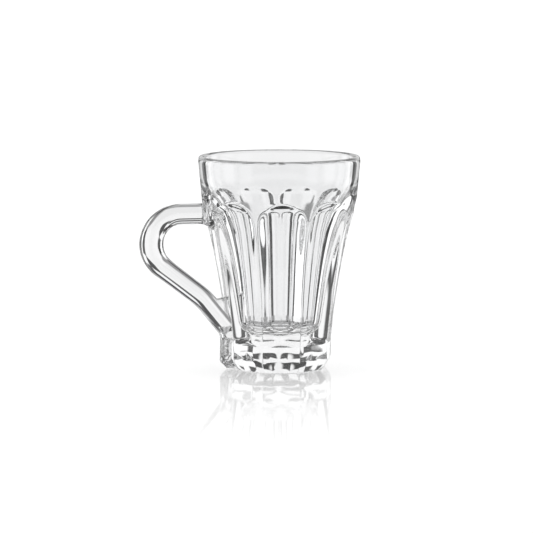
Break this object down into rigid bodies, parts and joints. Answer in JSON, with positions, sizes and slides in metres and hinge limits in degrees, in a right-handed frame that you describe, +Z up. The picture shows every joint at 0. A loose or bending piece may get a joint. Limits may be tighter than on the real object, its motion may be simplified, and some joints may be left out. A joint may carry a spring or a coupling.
{
  "type": "glass mug",
  "caption": "Clear pressed-glass mug with scooped flutes under a plain band, a solid faceted foot and a bent glass rod handle.",
  "frame": {"origin": "centre of the foot's flat underside, on the bowl's axis", "axes": "+Z up along the bowl's axis, -X towards the handle, +Y completes a right-handed frame"},
  "size_m": [0.1093, 0.0798, 0.105],
  "materials": {
    "clear_glass": "clear fire-polished"
  },
  "bodies": {
    "root": {"bowl": "clear_glass", "foot": "clear_glass", "handle": "clear_glass"}
  },
  "joints": []
}
